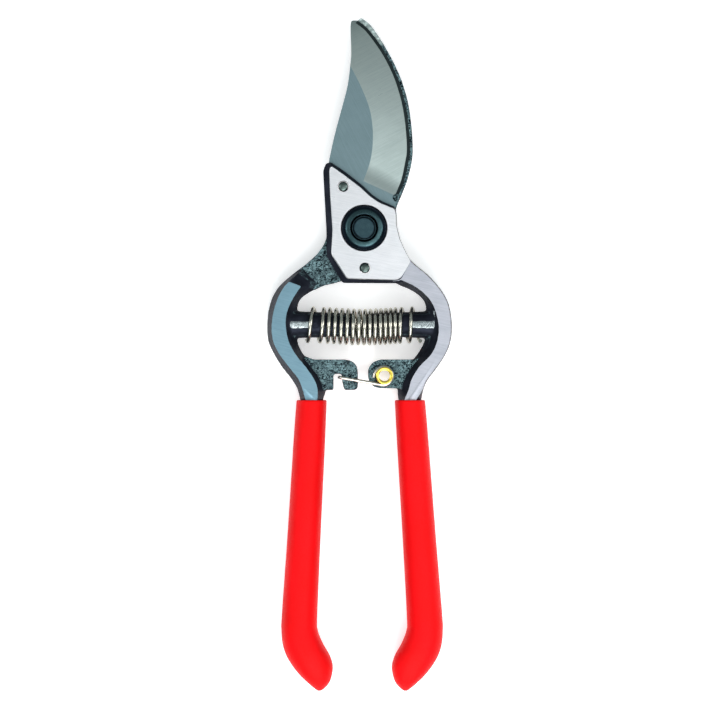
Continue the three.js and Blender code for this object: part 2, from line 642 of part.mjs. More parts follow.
function grip(side) {
  const skin = [];
  for (let step = 0; step <= GRIP_STEPS; step++) {
    skin.push(gripRing(side, step / GRIP_STEPS, 0));
  }
  const cavity = [gripRing(side, 0, GRIP_WALL, 1)];
  for (const share of sharesDownTo(TANG_END - GAP)) {
    cavity.push(gripRing(side, share, GRIP_WALL));
  }
  return skinned(skin).subtract(skinned(cavity));
}

// ---- the tool ----

const pruner = new THREE.Group();
pruner.add(
  part("hook_handle", hookHandle(), forged),
  part("blade_handle", plateHandle(), ground),
  part("blade", blade(), bladeSteel),
  part("blade_pin_upper", bladePin(UPPER_PIN), blackSteel),
  part("blade_pin_lower", bladePin(LOWER_PIN), blackSteel),
  part("pivot_bolt", pivotBolt(), blackSteel),
  part("pivot_washer", pivotWasher(), springSteel),
  part("pivot_nut", pivotNut(), blackSteel),
  part("return_spring", returnSpring(), springSteel),
  part("latch_bail", latchBail(), springSteel),
  part("latch_eyelet", latchEyelet(), brass),
  part("left_grip", grip(LEFT_SIDE), vinyl),
  part("right_grip", grip(RIGHT_SIDE), vinyl),
);

export default pruner;
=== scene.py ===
"""Bypass pruner: fine surfaces, materials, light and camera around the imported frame.

Lengths are millimetres in the frame's axes: +Y to the blade's tip, +Z up to the nut.
"""
import math

import bpy
import numpy as np
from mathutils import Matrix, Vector, noise


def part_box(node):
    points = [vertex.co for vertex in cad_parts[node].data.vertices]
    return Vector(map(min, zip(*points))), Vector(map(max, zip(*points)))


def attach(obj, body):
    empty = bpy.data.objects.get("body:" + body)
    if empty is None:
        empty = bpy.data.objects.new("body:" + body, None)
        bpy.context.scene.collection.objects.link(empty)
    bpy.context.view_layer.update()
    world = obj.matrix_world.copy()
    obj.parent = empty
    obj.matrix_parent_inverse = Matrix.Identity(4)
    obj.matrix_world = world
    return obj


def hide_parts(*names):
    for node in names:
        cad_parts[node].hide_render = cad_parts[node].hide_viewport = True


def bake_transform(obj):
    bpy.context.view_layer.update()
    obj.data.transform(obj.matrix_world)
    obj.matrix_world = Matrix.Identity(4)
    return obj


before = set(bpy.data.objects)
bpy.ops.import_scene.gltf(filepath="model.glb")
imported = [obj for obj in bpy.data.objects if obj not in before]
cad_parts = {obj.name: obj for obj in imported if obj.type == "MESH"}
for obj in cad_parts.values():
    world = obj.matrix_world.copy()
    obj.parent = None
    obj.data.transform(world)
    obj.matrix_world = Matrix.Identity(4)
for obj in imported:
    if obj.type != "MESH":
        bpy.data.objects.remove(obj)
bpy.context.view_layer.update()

MM = 0.001

# ---- heights and places that the frame gives, in millimetres ----

PLATE_GAP = 0.3                     # the front plate starts this far above the blade's top
PLATE_RISE = 3.5                    # and ends this far above it
JAW_GAP = 0.3                       # the hooked jaw lies this far under the blade


def span(node, axis):
    """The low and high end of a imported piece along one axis."""
    low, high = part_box(node)
    return low[axis] / MM, high[axis] / MM


BLADE_Z, BLADE_TOP = span("blade", 2)
PLATE_TOP = BLADE_TOP + PLATE_RISE
PLATE_Z = BLADE_TOP + PLATE_GAP
NUT_Z, NUT_TOP = span("pivot_nut", 2)
ARM_TOP = span("hook_handle", 2)[1]
BOLT_TOP = span("pivot_bolt", 2)[1]
WASHER_Z, WASHER_TOP = span("pivot_washer", 2)
MID_Z = sum(span("latch_eyelet", 2)) / 2
JAW_TOP = BLADE_Z - JAW_GAP
EYELET_X = sum(span("latch_eyelet", 0)) / 2
EYELET_Y = sum(span("latch_eyelet", 1)) / 2
PIN_PLACES = {
    pin: (sum(span(pin, 0)) / 2, sum(span(pin, 1)) / 2)
    for pin in ("blade_pin_upper", "blade_pin_lower")
}
GRIP_START_Y = span("left_grip", 1)[1]
TIP_Y = span("blade", 1)[1]

# ---- bores ----

PIVOT_BORE_RADIUS = 4.3
PIN_BORE_RADIUS = 1.9

# ---- outlines: the same chosen points as the frame's ----

BLADE_ROOT_Y = 16.0


def from_root(rows):
    """Points given as [x, share of the way from the blade's root to its tip]."""
    return [(x, BLADE_ROOT_Y + share * (TIP_Y - BLADE_ROOT_Y)) for x, share in rows]


BLADE_EDGE = from_root([
    (11.4, -0.1), (13.6, 0), (14.9, 0.105), (15.6, 0.2), (15, 0.365), (13.6, 0.51), (11, 0.66),
    (7, 0.805), (1.7, 0.94), (-2.2, 1),
])
BLADE_BACK = from_root([
    (-3.9, 1), (-4.6, 0.97), (-4.4, 0.81), (-4.6, 0.74), (-5.6, 0.595), (-7.7, 0.445),
    (-9.9, 0.295), (-11.8, 0.14),
])
BEVEL_START = from_root([
    (-0.3, 0), (2, 0.12), (2.9, 0.233), (2.8, 0.346), (1.7, 0.458), (-1.1, 0.588),
    (-4.2, 0.7), (-6.5, 0.78), (-8.6, 0.87), (-10.2, 0.95),
])
TANG = [
    (-12.3, 17), (-12.1, -3), (-10.3, -9), (-6.3, -16.6), (5.8, -16.6), (8.4, -12.4),
    (9.6, -5), (10, 4.5), (10.4, 6.8), (11, 9),
]
CHOIL = (11.1, 10.4)
CHOIL_RADIUS = 1.4

# Front plate: [top x, top y, base x, base y], with the black bevel between.
PLATE_CORNERS = [
    (-10.6, 20.6, -11.4, 22.4), (-7.2, 18.2, -6.6, 19.2), (-1.2, 13.6, -0.6, 14.5),
    (1.9, 10.7, 2.4, 11.6), (4.9, 8.6, 5.3, 9.5), (8, 7.3, 8.2, 8.2), (10.2, 6.4, 10.7, 7.1),
    (10.7, 4.6, 11, 4.6), (10.8, 0.9, 11.1, 0.9), (11.9, -3.6, 12.2, -3.7),
    (14, -8.2, 14.3, -8.3), (15.8, -11.3, 16, -11.4), (12.5, -16.7, 12.6, -18.5),
    (11, -17.5, 11, -18.7), (-5.7, -17, -7.4, -18.6), (-10.9, -8.8, -12.7, -9.4),
    (-10.4, -0.6, -12.8, -0.6), (-11.2, 11.5, -13.5, 11.5), (-11.5, 19.1, -13.9, 19.5),
    (-11.3, 20.3, -13, 21.9),
]

# Grips: [distance from the toe, inner edge, outer edge, half height], and each one's side, start and lean.
GRIP_LENGTH = 98.8
GRIP_ROWS = [
    (GRIP_LENGTH, -5.2, 5.1, 8.5), (GRIP_LENGTH * 0.85, -5.45, 5.35, 8.5),
    (GRIP_LENGTH * 0.55, -5.7, 5.6, 8.5), (25.7, -6.1, 6, 8.5), (20.5, -6.6, 5.85, 8.5),
    (16, -8.6, 5.2, 8.5), (12.2, -11, 3.8, 8.3), (8.7, -12.3, 1.6, 7.7),
    (5.4, -12.2, -1.2, 6.6), (2.9, -11.5, -3.9, 5.2), (1, -10.1, -6.2, 3.2), (0, -8.8, -7.6, 1.2),
]
GRIP_SIDES = {
    "left_grip": (-1, -17.9, 0.056),
    "right_grip": (1, 15.6, 0.068),
}
GRIP_SQUARENESS = 2.6

# ---- curves ----


def spline(points, count):
    """Even samples in the points' own spacing along a uniform Catmull-Rom curve."""
    p = np.array(points, float)
    last = len(p) - 1
    place = np.linspace(0, last, count)
    i = np.minimum(place.astype(int), last - 1)
    t = (place - i)[:, None]
    a, b = p[np.maximum(i - 1, 0)], p[i]
    c, d = p[i + 1], p[np.minimum(i + 2, last)]
    va, vb = (c - a) / 2, (d - b) / 2
    return (2 * b - 2 * c + va + vb) * t ** 3 + (3 * c - 3 * b - 2 * va - vb) * t ** 2 + va * t + b


def resampled(points, count):
    """Points at even distances along a polyline."""
    p = np.array(points, float)
    length = np.concatenate([[0], np.cumsum(np.linalg.norm(np.diff(p, axis=0), axis=1))])
    at = np.linspace(0, length[-1], count)
    return np.stack([np.interp(at, length, p[:, k]) for k in range(p.shape[1])], axis=1)


def rounded(corners, radius, steps=5):
    """A closed outline with each corner rounded by an arc-like curve."""
    p = np.array(corners, float)
    out = []
    for i, corner in enumerate(p):
        before, after = p[i - 1] - corner, p[(i + 1) % len(p)] - corner
        reach = min(radius, 0.45 * np.linalg.norm(before), 0.45 * np.linalg.norm(after))
        start = corner + before / np.linalg.norm(before) * reach
        end = corner + after / np.linalg.norm(after) * reach
        for t in np.linspace(0, 1, steps):
            out.append((1 - t) ** 2 * start + 2 * t * (1 - t) * corner + t * t * end)
    return np.array(out)


# ---- mesh building ----


def new_mesh(name, vertices, faces, sharp=35):
    """A shown object from points in millimetres, smooth except where faces meet sharply."""
    mesh = bpy.data.meshes.new(name)
    mesh.from_pydata([tuple(v) for v in np.array(vertices, float) * MM], [], faces)
    mesh.validate()
    obj = bpy.data.objects.new(name, mesh)
    bpy.context.scene.collection.objects.link(obj)
    shade(obj, sharp)
    return obj


def select(obj):
    """The one selected and active object, as Blender's operators want it."""
    bpy.ops.object.select_all(action="DESELECT")
    obj.select_set(True)
    bpy.context.view_layer.objects.active = obj


def shade(obj, sharp=35):
    """Smooth shading, with a crease where faces meet at more than the given angle."""
    select(obj)
    bpy.ops.object.shade_smooth_by_angle(angle=math.radians(sharp))


def skinned(rings, closed=False):
    """Vertices and faces over rings of equal length; capped at both ends unless closed on itself."""
    count = len(rings[0])
    vertices = np.concatenate(rings)
    faces = []
    pairs = len(rings) if closed else len(rings) - 1
    for r in range(pairs):
        low, high = r * count, (r + 1) % len(rings) * count
        for i in range(count):
            j = (i + 1) % count
            faces.append((low + i, low + j, high + j, high + i))
    if not closed:
        faces.append(tuple(range(count))[::-1])
        faces.append(tuple(range(vertices.shape[0] - count, vertices.shape[0])))
    return vertices, faces


def fix_normals(obj):
    """Turns every face outward."""
    select(obj)
    bpy.ops.object.mode_set(mode="EDIT")
    bpy.ops.mesh.select_all(action="SELECT")
    bpy.ops.mesh.normals_make_consistent(inside=False)
    bpy.ops.object.mode_set(mode="OBJECT")


def skin_object(name, rings, closed=False, sharp=35):
    obj = new_mesh(name, *skinned(rings, closed), sharp)
    fix_normals(obj)
    return obj


def lathe(name, profile, centre=(0, 0), sides=96, sharp=35):
    """A turned piece about an upright axis. The profile is a closed loop of (radius, height)."""
    rings = []
    for i in range(sides):
        angle = 2 * math.pi * i / sides
        c, s = math.cos(angle), math.sin(angle)
        rings.append(np.array([(centre[0] + r * c, centre[1] + r * s, z) for r, z in profile]))
    return skin_object(name, rings, closed=True, sharp=sharp)


def tube(name, path, radius, sides=16, sharp=50):
    """A round wire along a fine path, with flat ends and frames that don't twist."""
    p = np.array(path, float)
    tangents = np.gradient(p, axis=0)
    tangents /= np.linalg.norm(tangents, axis=1)[:, None]
    up = np.cross(tangents[0], (0.3, 0.5, 0.8))
    rings = []
    for point, tangent in zip(p, tangents):
        up = up - tangent * np.dot(up, tangent)
        up /= np.linalg.norm(up)
        side = np.cross(tangent, up)
        angles = np.arange(sides) * 2 * math.pi / sides
        rings.append(point + radius * (np.cos(angles)[:, None] * up + np.sin(angles)[:, None] * side))
    return skin_object(name, rings, sharp=sharp)


def slab(name, outline, bottom, top, sharp=35):
    """An upright block over an outline."""
    base = np.array([(x, y, bottom) for x, y in outline])
    lid = np.array([(x, y, top) for x, y in outline])
    return skin_object(name, [base, lid], sharp=sharp)


def apply_modifier(obj, kind, **settings):
    modifier = obj.modifiers.new(kind.lower(), kind)
    for key, value in settings.items():
        setattr(modifier, key, value)
    select(obj)
    bpy.ops.object.modifier_apply(modifier=modifier.name)


def combine(obj, other, operation):
    """Joins or cuts with another object, which is used up."""
    apply_modifier(obj, "BOOLEAN", operation=operation, object=other, solver="MANIFOLD")
    bpy.data.objects.remove(other)
    return obj


def cut_round(obj, x, y, radius, bottom, top, sides=96):
    """Bores an upright round hole."""
    angles = np.arange(sides) * 2 * math.pi / sides
    outline = [(x + radius * math.cos(a), y + radius * math.sin(a)) for a in angles]
    return combine(obj, slab("cutter", outline, bottom, top), "DIFFERENCE")


# ---- forgings ----

VOXEL = 0.34                        # cell size of the remesh, which rounds what is finer
HEAVY_FORGE = 0.2                   # depth of the hammered texture on webs and lugs
LIGHT_FORGE = 0.03                  # the same on walls and pegs
FORGE_GAIN = 1.6                    # brings the noise up to the given depths
FORGE_LEVEL = 0.45                  # noise above this leaves the skin flat
FORGE_LUMP = 0.8                    # lumps to the millimetre
FORGE_GRIT = 1.9                    # the same for the finer ones
WEB_HEIGHT = 2.0                    # what lies lower than this above the jaw is web, lug or jaw
CROWN_LIFT = 0.3                    # how far a crown is raised before it is ground flat
CROWN_DEPTH = 1.2
PEG_Y = -32.7
PEG_REACH = 24                      # a peg's crown is ground only within this of the middle
PEG_ROOT_RADIUS = 4.8
PEG_TIP_RADIUS = 3.95
PEG_ROOTS = {"left": -27.0, "right": 26.0}
PEG_TIPS = {"left": -3.15, "right": 0.65}
PEG_FLAT = 0.972                    # height of a peg's ground crown, as a share of its radius
MARK_X = -16.4
MARK_OFFSET = 0.3
MARK_RADIUS = 0.95
MARK_WIRE = 0.2
MARK_SINK = 0.38
PLATE_CORNER_RADIUS = 1.0
PLATE_WALL = 0.9                    # upright part of the plate's side, under its bevel
SEAT_DEPTH = 1.2                    # the nut's round seat in the plate
SEAT_RADIUS = 7.7
SEAT_CHAMFER = 0.25
AROUND_TOOL = [(-60, -180), (60, -180), (60, 100), (-60, 100)]
AROUND_PLATE = [
    (-18, 26), (-4, 26), (18, 12), (14, 0), (15.2, -8.6), (9.8, -16.4), (9.4, -21),
    (-9, -21), (-18, -10),
]


def cad_copy(name, node):
    """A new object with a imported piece's mesh."""
    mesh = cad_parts[node].data.copy()
    mesh.materials.clear()
    obj = bpy.data.objects.new(name, mesh)
    bpy.context.scene.collection.objects.link(obj)
    return obj


def as_forged(obj):
    """Fills the sharp corners of a built-up shape the way a forging's dies do."""
    apply_modifier(obj, "REMESH", mode="VOXEL", voxel_size=VOXEL * MM, use_smooth_shade=True)
    apply_modifier(obj, "SMOOTH", factor=0.5, iterations=5)
    return obj


def step(value, low, high):
    """A smooth rise from 0 at low to 1 at high."""
    t = np.clip((value - low) / (high - low), 0, 1)
    return t * t * (3 - 2 * t)


def read_points(obj):
    """Vertices in millimetres, and their normals."""
    mesh = obj.data
    co = np.empty(len(mesh.vertices) * 3, np.float32)
    normal = np.empty(len(mesh.vertices) * 3, np.float32)
    mesh.vertices.foreach_get("co", co)
    mesh.vertex_normals.foreach_get("vector", normal)
    return co.reshape(-1, 3).astype(float) / MM, normal.reshape(-1, 3)


def write_points(obj, co):
    obj.data.vertices.foreach_set("co", (co * MM).astype(np.float32).ravel())
    obj.data.update()


def roughen(obj):
    """Hammer scale: deep on the upright faces of webs and lugs, slight on walls and pegs."""
    co, normal = read_points(obj)
    low = 1 - step(co[:, 2], JAW_TOP + WEB_HEIGHT, JAW_TOP + WEB_HEIGHT + 0.5)
    face = step(np.abs(normal[:, 2]), 0.6, 0.9) * low
    depth = LIGHT_FORGE + (HEAVY_FORGE - LIGHT_FORGE) * face
    for i, point in enumerate(co):
        place = Vector(point)
        lump = noise.noise(place * FORGE_LUMP) + 0.7 * noise.noise(place * FORGE_GRIT) - FORGE_LEVEL
        co[i] += normal[i] * depth[i] * min(lump, 0.0) * FORGE_GAIN
    write_points(obj, co)


def grind_pegs(obj, side):
    """The narrow flat along a peg's crown, which tapers with the peg."""
    co, _ = read_points(obj)
    root, tip = PEG_ROOTS[side], PEG_TIPS[side]
    share = np.clip((co[:, 0] - root) / (tip - root), 0, 1)
    radius = PEG_ROOT_RADIUS + (PEG_TIP_RADIUS - PEG_ROOT_RADIUS) * share
    crown = MID_Z + PEG_FLAT * radius
    on_peg = (np.abs(co[:, 0]) < PEG_REACH) & (np.abs(co[:, 1] - PEG_Y) < PEG_ROOT_RADIUS)
    upper = on_peg & (co[:, 2] > MID_Z)
    co[:, 2] = np.where(upper, np.minimum(co[:, 2], crown), co[:, 2])
    write_points(obj, co)


def grind_crown(obj):
    """Grinds the arms' crowns flat, which leaves a crisp border between bright and black."""
    co, _ = read_points(obj)
    co[:, 2] += CROWN_LIFT * step(co[:, 2], ARM_TOP - CROWN_DEPTH, ARM_TOP)
    write_points(obj, co)
    combine(obj, slab("cutter", AROUND_TOOL, ARM_TOP, ARM_TOP + 3), "DIFFERENCE")


def peg_mark(obj):
    """A small raised ring struck on the left peg's crown."""
    height = MID_Z + PEG_FLAT * (PEG_ROOT_RADIUS - MARK_SINK)
    angles = np.arange(8) * math.pi / 4
    ring = [(MARK_RADIUS + MARK_WIRE * math.cos(a), height + MARK_WIRE * math.sin(a)) for a in angles]
    combine(obj, lathe("ring", ring, (MARK_X, PEG_Y - MARK_OFFSET), 40), "UNION")


def hook_forging():
    obj = as_forged(cad_copy("hook_forging", "hook_handle"))
    roughen(obj)
    grind_pegs(obj, "left")
    grind_crown(obj)
    peg_mark(obj)
    shade(obj, 40)
    return obj


def front_plate():
    top = rounded([row[:2] for row in PLATE_CORNERS], PLATE_CORNER_RADIUS)
    base = rounded([row[2:] for row in PLATE_CORNERS], PLATE_CORNER_RADIUS)
    rim = PLATE_Z + PLATE_WALL
    levels = ((base, PLATE_Z), (base, rim), (top, PLATE_TOP))
    rings = [np.array([(x, y, z) for x, y in outline]) for outline, z in levels]
    return skin_object("front_plate", rings)


def blade_forging():
    obj = as_forged(cad_copy("blade_forging", "blade_handle"))
    combine(obj, slab("cutter", AROUND_PLATE, PLATE_Z - 0.9, PLATE_TOP + 1), "DIFFERENCE")
    roughen(obj)
    grind_pegs(obj, "right")
    grind_crown(obj)
    combine(obj, front_plate(), "UNION")
    seat = PLATE_TOP - SEAT_DEPTH
    recess = lathe("cutter", [
        (0, seat), (SEAT_RADIUS, seat), (SEAT_RADIUS, PLATE_TOP - SEAT_CHAMFER),
        (SEAT_RADIUS + SEAT_CHAMFER, PLATE_TOP), (8.5, PLATE_TOP + 1), (0, PLATE_TOP + 1),
    ], sides=128)
    combine(obj, recess, "DIFFERENCE")
    cut_round(obj, 0, 0, PIVOT_BORE_RADIUS, PLATE_Z - 1, PLATE_TOP)
    for x, y in PIN_PLACES.values():
        cut_round(obj, x, y, PIN_BORE_RADIUS, PLATE_Z - 1, PLATE_TOP + 1, 48)
    shade(obj, 30)
    return obj


# ---- blade ----

EDGE_STOCK = 0.85                   # thickness at the edge before the fine bevel is cut
GRIND_OVERRUN = 1.15                # the main cutter's reach, where 1 is the way from its start to the edge
MICRO_WIDTH = 1.1
MICRO_LIFT = 0.12                   # the fine bevel starts this far above the stock, so that the two meet
MICRO_OVERRUN = 1.3                 # the same for the fine cutter
EDGE_LAND = 0.08                    # thickness of the cutting edge itself
RUN_OUT = 0.11                      # share of the edge over which the grind lifts out at its root
ROOT_DEPTH = 0.3                    # how much of the grind's depth is left at its root


def beyond(line, reach=6):
    """A line with one more point, so that a cut runs clear of the blade's tip."""
    return np.vstack([line, line[-1] + (line[-1] - line[-2]) * reach])


def wedge(name, start, end, start_z, end_z, overrun, depths=None):
    """A cutter that takes off what lies above the ruled surface from start to end."""
    rings = []
    for i, (a, b) in enumerate(zip(start, end)):
        depth = 1 if depths is None else depths[min(i, len(depths) - 1)]
        far = a + (b - a) * overrun
        far_z = start_z + (end_z - start_z) * overrun * depth
        rings.append(np.array([(*a, start_z), (*far, far_z), (*far, BLADE_TOP + 1), (*a, BLADE_TOP + 1)]))
    return skin_object(name, rings)


def cutting_blade():
    edge = spline(BLADE_EDGE, 160)
    back = spline(BLADE_BACK, 90)
    tang = rounded([back[-1], *TANG, edge[0]], 1.2)[5:-5]
    obj = slab("cutting_blade", [*edge, *back, *tang], BLADE_Z, BLADE_TOP)
    steps = 120
    rim = spline(BLADE_EDGE, steps)
    depths = ROOT_DEPTH + (1 - ROOT_DEPTH) * step(np.linspace(0, 1, steps), 0, RUN_OUT)
    primary = wedge("cutter", beyond(spline(BEVEL_START, steps)), beyond(rim), BLADE_TOP + 0.001,
                    BLADE_Z + EDGE_STOCK, GRIND_OVERRUN, depths)
    combine(obj, primary, "DIFFERENCE")
    along = np.gradient(rim, axis=0)
    inward = np.stack([-along[:, 1], along[:, 0]], axis=1)
    inward /= np.linalg.norm(inward, axis=1)[:, None]
    slope_stock = EDGE_STOCK + MICRO_LIFT
    micro = wedge("cutter", rim + inward * MICRO_WIDTH, rim, BLADE_Z + slope_stock, BLADE_Z + EDGE_LAND,
                  MICRO_OVERRUN)
    combine(obj, micro, "DIFFERENCE")
    cut_round(obj, *CHOIL, CHOIL_RADIUS, BLADE_Z - 1, BLADE_TOP + 1, 40)
    cut_round(obj, 0, 0, PIVOT_BORE_RADIUS, BLADE_Z - 1, BLADE_TOP + 1)
    for x, y in PIN_PLACES.values():
        cut_round(obj, x, y, PIN_BORE_RADIUS, BLADE_Z - 1, BLADE_TOP + 1, 48)
    shade(obj, 3)
    return obj


PIN_RADIUS = 1.6
PIN_DOME = 0.45


def blade_rivet(name, node):
    low, high = span(node, 2)
    dome = high - PIN_DOME
    profile = [(0, low), (PIN_RADIUS, low), (PIN_RADIUS, dome)]
    for angle in np.linspace(0.2, 1.5, 7):
        profile.append((PIN_RADIUS * math.cos(angle), dome + PIN_DOME * math.sin(angle)))
    return lathe(name, [*profile, (0, high)], PIN_PLACES[node], 48)


# ---- pivot ----

HEAD_ACROSS_FLATS = 12.7
HEAD_HEIGHT = 2.95
SHANK_RADIUS = 4
THREAD_ROOT_RADIUS = 3.72
THREAD_CREST_RADIUS = 3.97
THREAD_PITCH = 0.5
THREAD_END = 0.6                    # the thread stops this far under the bolt's chamfered end
NUT_RADIUS = 7.4
NUT_CROWN = 6.05                    # the nut's flat top, between its chamfer and its bore
WASHER_RADIUS = 7.4
WASHER_ROUND = 0.1


def bolt():
    """Hex head at the back, chamfered where it meets the table, and a threaded end in the nut."""
    radius = HEAD_ACROSS_FLATS / 2 / math.cos(math.pi / 6)
    angles = np.arange(6) * math.pi / 3 + math.pi / 6
    corners = [(radius * math.cos(a), radius * math.sin(a)) for a in angles]
    obj = slab("hex_bolt", corners, 0, HEAD_HEIGHT)
    chamfer = lathe("cutter", [(6.1, -1), (9, -1), (9, 2), (7.9, 1.2), (6.25, 0)], sides=96)
    combine(obj, chamfer, "DIFFERENCE")
    thread_base = NUT_Z - 2
    profile = [(0, 1), (SHANK_RADIUS, 1), (SHANK_RADIUS, thread_base)]
    turns = int((BOLT_TOP - THREAD_END - thread_base) / THREAD_PITCH)
    for i in range(turns):
        z = thread_base + i * THREAD_PITCH
        profile += [(THREAD_ROOT_RADIUS, z + 0.2), (THREAD_CREST_RADIUS, z + 0.45)]
    profile += [(3.85, BOLT_TOP - 0.75), (3.45, BOLT_TOP - 0.12), (3.25, BOLT_TOP), (0, BOLT_TOP)]
    combine(obj, lathe("shank", profile, sides=96), "UNION")
    shade(obj, 25)
    return obj


def nut():
    top, rim, bore = NUT_TOP, NUT_RADIUS, PIVOT_BORE_RADIUS
    profile = [
        (bore, NUT_Z), (rim - 0.2, NUT_Z), (rim, NUT_Z + 0.2), (rim, top - 1.05), (rim - 0.12, top - 0.85),
        (NUT_CROWN + 0.2, top - 0.1), (NUT_CROWN, top), (bore + 0.5, top), (bore + 0.35, top - 0.08),
        (bore, top - 0.6),
    ]
    return lathe("round_nut", profile, sides=128, sharp=28)


def lock_washer():
    inner, outer, soft = PIVOT_BORE_RADIUS, WASHER_RADIUS, WASHER_ROUND
    profile = [
        (inner, WASHER_Z + soft), (inner + soft, WASHER_Z),
        (outer - soft, WASHER_Z), (outer, WASHER_Z + soft),
        (outer, WASHER_TOP - soft), (outer - soft, WASHER_TOP),
        (inner + soft, WASHER_TOP), (inner, WASHER_TOP - soft),
    ]
    obj = lathe("lock_washer", profile, sides=96)
    split = [(3.5, -0.5), (9, 0.1), (9, 0.9), (3.5, 0.3)]
    return combine(obj, slab("cutter", split, WASHER_Z - 1, WASHER_TOP + 1), "DIFFERENCE")


# ---- spring and latch ----

SPRING_RADIUS = 5.75
SPRING_WIRE = 0.65
SPRING_BOW = 0.8                    # how far the spring's middle sags between the pegs
FIRST_X = -18.2
FIRST_PITCH = 4.1
MAIN_PITCH = 1.88
LAST_PITCH = 3.6
MAIN_TURNS = 14
TIGHTENING = 1.1                    # how far the middle turns stand to the right of even spacing
COIL_LEAN = 0.45                    # how far the last turn's blade side leans left; the first stands square
SPRING_EDGES = (-0.32, 16.8)        # turns at which the wire starts and ends


def spring_x(turn):
    """Along the pegs: a wide turn at each end, closer ones between that tighten to the right."""
    inner = np.clip(turn - 1, 0, MAIN_TURNS)
    shift = TIGHTENING * np.sin(math.pi * inner / MAIN_TURNS)
    last = np.maximum(turn - 1 - MAIN_TURNS, 0)
    return FIRST_X + np.minimum(turn, 1) * FIRST_PITCH + inner * MAIN_PITCH + shift + last * LAST_PITCH


def coil_spring():
    turn = np.linspace(*SPRING_EDGES, 17 * 56)
    x = spring_x(turn)
    share = (x - x[0]) / (x[-1] - x[0])
    y = PEG_Y - SPRING_BOW * np.sin(math.pi * share) ** 2 + SPRING_RADIUS * np.sin(2 * math.pi * turn)
    z = MID_Z + SPRING_RADIUS * np.cos(2 * math.pi * turn)
    x = x - COIL_LEAN * share * np.sin(2 * math.pi * turn)
    return tube("coil_spring", np.stack([x, y, z], axis=1), SPRING_WIRE, 14)


EYELET_BORE = 1.8
EYELET_TUBE = 2.15
EYELET_FLANGE = 2.95
FLANGE_THICKNESS = 0.5
EYE_CLEARANCE = 0.45
EYE_TURN = math.radians(290)        # how far each end of the bail curls about the eyelet
EYE_SQUEEZE = 0.4                   # how much the eye closes in halfway round
FLARE_FROM = 0.85                   # share of the curl after which the wire's end flares out
FLARE = 0.55
BAIL_WIRE = 0.55
BAIL_GAP = 0.3                      # the bail's legs clear the lug's faces by this
BAIL_LENGTH = 15.3
BAIL_ANGLE = math.radians(182.2)
LUG_HALF = 2.5


def wire_bail():
    """One leg from its curled eye to the cross bar, then the same mirrored on the lug's other face."""
    eye = EYELET_TUBE + EYE_CLEARANCE + BAIL_WIRE
    lift = LUG_HALF + BAIL_GAP + BAIL_WIRE
    tangent = BAIL_ANGLE + math.acos(eye / BAIL_LENGTH)
    half = []
    for share in np.linspace(1, 0, 30):
        angle = tangent + share * EYE_TURN
        squeeze = EYE_SQUEEZE * math.sin(math.pi * min(share / FLARE_FROM, 1))
        curl = eye - squeeze + FLARE * max(share - FLARE_FROM, 0) / (1 - FLARE_FROM)
        half.append((EYELET_X + curl * math.cos(angle), EYELET_Y + curl * math.sin(angle), lift))
    near = np.array(half[-1][:2])
    bar = np.array([EYELET_X, EYELET_Y])
    bar += BAIL_LENGTH * np.array([math.cos(BAIL_ANGLE), math.sin(BAIL_ANGLE)])
    for share in (0.2, 0.4, 0.6, 0.8, 0.93):
        half.append((*(near + share * (bar - near)), lift))
    half.append((*(near + 0.975 * (bar - near)), lift - 0.16))
    half.append((*bar, lift - 0.75))
    half.append((*bar, lift - 1.6))
    path = [*half, *[(x, y, -z) for x, y, z in half[::-1]]]
    path = resampled(spline(path, 900), 360)
    return tube("wire_bail", path + np.array([0, 0, MID_Z]), BAIL_WIRE, 16)


def eyelet():
    low, high = span("latch_eyelet", 2)
    bore, outer, flange, thick = EYELET_BORE, EYELET_TUBE, EYELET_FLANGE, FLANGE_THICKNESS
    half = thick / 2
    angles = np.linspace(0, math.pi, 9)
    roll = [(flange - half + half * math.sin(a), half - half * math.cos(a)) for a in angles]
    profile = [(bore + 0.35, low), *[(r, low + z) for r, z in roll], (outer, low + thick + 0.05)]
    profile += [(outer, high - thick - 0.05), *[(r, high - z) for r, z in roll[::-1]], (bore + 0.35, high)]
    profile += [(bore + 0.1, high - 0.14), (bore, high - 0.45), (bore, low + 0.45), (bore + 0.1, low + 0.14)]
    return lathe("brass_eyelet", profile, (EYELET_X, EYELET_Y), 72)


# ---- grips ----

GRIP_WALL = 0.9
LIP = 0.45                          # radius of the rounded rim at the open end
HOLLOW_END = 6.8                    # the hollow stops this far from the toe
GRIP_POINTS = 56


def grip(name):
    """A hollow sleeve: up the inside from the toe, over the rounded rim, and down the outside."""
    outward, start_x, lean = GRIP_SIDES[name]
    rows = resampled(spline(GRIP_ROWS, 900), 170)
    angles = np.arange(GRIP_POINTS) * 2 * math.pi / GRIP_POINTS
    power = 2 / GRIP_SQUARENESS
    across = np.sign(np.cos(angles)) * np.abs(np.cos(angles)) ** power
    up = np.sign(np.sin(angles)) * np.abs(np.sin(angles)) ** power

    def ring(row, inset):
        distance, inner, outer, height = row
        along = GRIP_LENGTH - distance
        offset = (inner + outer) / 2 + ((outer - inner) / 2 - inset) * across
        x = start_x + outward * (lean * along + offset)
        return np.stack([x, np.full_like(x, GRIP_START_Y - along), MID_Z + (height - inset) * up], axis=1)

    hollow = [row for row in rows if row[0] > HOLLOW_END]
    rings = [ring(row, GRIP_WALL) for row in hollow[::-1]]
    for angle in np.linspace(0, math.pi / 2, 5)[1:-1]:
        rings.append(ring(rows[0], GRIP_WALL - (GRIP_WALL - LIP) * math.sin(angle)))
    for angle in np.linspace(0, math.pi / 2, 6):
        row = rows[0].copy()
        row[0] -= LIP * (1 - math.cos(angle))
        rings.append(ring(row, LIP * (1 - math.sin(angle))))
    rings += [ring(row, 0) for row in rows if row[0] < GRIP_LENGTH - LIP - 0.2]
    return skin_object(name + "_vinyl", rings, sharp=50)


